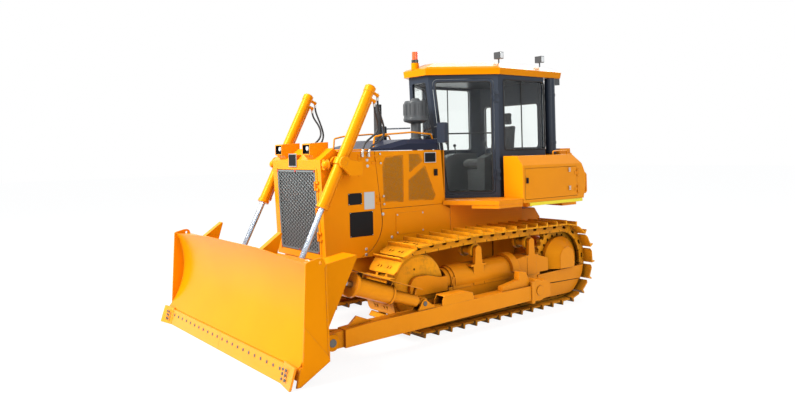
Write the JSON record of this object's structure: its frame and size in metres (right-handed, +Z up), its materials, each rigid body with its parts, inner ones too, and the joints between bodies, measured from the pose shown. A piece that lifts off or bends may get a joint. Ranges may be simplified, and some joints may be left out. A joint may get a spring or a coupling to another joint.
{
  "type": "crawler bulldozer",
  "caption": "Crawler bulldozer with a straight blade on two push arms, raised by two long cylinders, two steel tracks and a six-sided glazed cab behind the hood.",
  "frame": {"origin": "centre of the bounding box on the ground under the tracks", "axes": "+X forward to the blade, +Y to the machine's left, +Z up"},
  "size_m": [5.3604, 3.438, 3.506],
  "materials": {
    "yellow_paint": "semi-gloss",
    "grey_paint": "satin",
    "track_steel": "worn paint over steel",
    "worn_steel": "worn",
    "chrome_rod": "polished",
    "black_steel": "matt",
    "cab_glass": "clear",
    "seat_fabric": "woven",
    "black_plastic": "textured",
    "beacon_lens": "clear amber-red",
    "cast_block": "cast",
    "rubber_hose": "smooth"
  },
  "bodies": {
    "root": {"track_left": "track_steel", "track_right": "track_steel", "sprockets": "track_steel", "final_drives": "yellow_paint", "idlers": "track_steel", "rollers": "track_steel", "track_frame_left": "yellow_paint", "track_frame_right": "yellow_paint", "main_frame": "yellow_paint", "rear_case": "yellow_paint", "drawbar": "yellow_paint", "engine_block": "cast_block", "radiator_guard": "yellow_paint", "radiator": "black_steel", "hood_cover": "grey_paint", "hood_panels": "yellow_paint", "exhaust_stack": "black_steel", "air_precleaner": "black_plastic", "lift_yokes": "yellow_paint", "floor_platform": "yellow_paint", "fender_box_left": "yellow_paint", "fender_box_right": "yellow_paint", "fuel_tank": "yellow_paint", "cab_frame": "grey_paint", "cab_roof": "yellow_paint", "cab_glass": "cab_glass", "seat_base": "black_plastic", "seat": "seat_fabric", "consoles": "black_plastic", "levers": "black_plastic", "rear_posts": "grey_paint", "beacon": "beacon_lens", "grab_handles": "yellow_paint", "lamps": "black_plastic", "mirrors": "black_plastic", "lift_hoses_left": "rubber_hose", "lift_hoses_right": "rubber_hose", "hose_elbows": "worn_steel"},
    "grille_door": {"grille_door": "black_steel"},
    "engine_door_left": {"engine_door_left": "yellow_paint"},
    "engine_door_right": {"engine_door_right": "yellow_paint"},
    "blade": {"blade": "yellow_paint", "cutting_edges": "worn_steel", "push_arm_left": "yellow_paint", "push_arm_right": "yellow_paint", "blade_pins": "worn_steel", "tilt_cylinder": "yellow_paint", "tilt_rod": "chrome_rod", "tilt_brace": "yellow_paint"},
    "lift_barrel_left": {"lift_barrel_left": "yellow_paint"},
    "lift_barrel_right": {"lift_barrel_right": "yellow_paint"},
    "lift_rod_left": {"lift_rod_left": "chrome_rod"},
    "lift_rod_right": {"lift_rod_right": "chrome_rod"},
    "box_door_left": {"box_door_left": "yellow_paint"},
    "box_door_right": {"box_door_right": "yellow_paint"},
    "cab_door_left": {"cab_door_left": "grey_paint", "door_glass_left": "cab_glass"},
    "cab_door_right": {"cab_door_right": "grey_paint", "door_glass_right": "cab_glass"}
  },
  "joints": [
    {"name": "blade_lift", "type": "hinge", "parent": "root", "child": "blade", "pos_m": [-1.09, 0, 0.325], "axis": [0, 1, 0], "range_deg": [-14, 8]},
    {"name": "lift_barrel_left", "type": "hinge", "parent": "root", "child": "lift_barrel_left", "pos_m": [1.45, 0.715, 2.025], "axis": [0, 1, 0], "range_deg": [-11.8, 6.8], "deforming": ["lift_hoses_left"]},
    {"name": "lift_rod_left", "type": "slide", "parent": "lift_barrel_left", "child": "lift_rod_left", "axis": [0.45, 0, -0.893], "range_m": [-0.758, 0.434]},
    {"name": "lift_barrel_right", "type": "hinge", "parent": "root", "child": "lift_barrel_right", "pos_m": [1.45, -0.715, 2.025], "axis": [0, 1, 0], "range_deg": [-11.8, 6.8], "deforming": ["lift_hoses_right"]},
    {"name": "lift_rod_right", "type": "slide", "parent": "lift_barrel_right", "child": "lift_rod_right", "axis": [0.45, 0, -0.893], "range_m": [-0.758, 0.434]},
    {"name": "grille_door", "type": "hinge", "parent": "root", "child": "grille_door", "pos_m": [1.61922, 0.462, 1.46], "axis": [0.0517, 0, 0.9987], "range_deg": [0, 40]},
    {"name": "engine_door_left", "type": "hinge", "parent": "root", "child": "engine_door_left", "pos_m": [0.831, 0.586, 1.797], "axis": [-0.1216, 0, -0.9926], "range_deg": [0, 100]},
    {"name": "cab_door_left", "type": "hinge", "parent": "root", "child": "cab_door_left", "pos_m": [-0.9988, 0.7547, 2.3], "axis": [0, 0, 1], "range_deg": [0, 90]},
    {"name": "box_door_left", "type": "hinge", "parent": "root", "child": "box_door_left", "pos_m": [-2.146, 1.216, 1.65], "axis": [0, 0, 1], "range_deg": [0, 100]},
    {"name": "engine_door_right", "type": "hinge", "parent": "root", "child": "engine_door_right", "pos_m": [0.831, -0.586, 1.797], "axis": [0.1216, 0, 0.9926], "range_deg": [0, 100]},
    {"name": "cab_door_right", "type": "hinge", "parent": "root", "child": "cab_door_right", "pos_m": [-0.9988, -0.7547, 2.3], "axis": [0, 0, -1], "range_deg": [0, 90]},
    {"name": "box_door_right", "type": "hinge", "parent": "root", "child": "box_door_right", "pos_m": [-2.146, -1.216, 1.65], "axis": [0, 0, -1], "range_deg": [0, 100]}
  ],
  "couplings": [
    {"joint": "lift_barrel_left", "follows": "blade_lift", "ratio": 0.83},
    {"joint": "lift_barrel_right", "follows": "blade_lift", "ratio": 0.83},
    {"joint": "lift_rod_left", "follows": "blade_lift", "m_per_rad": 3.08},
    {"joint": "lift_rod_right", "follows": "blade_lift", "m_per_rad": 3.08}
  ]
}
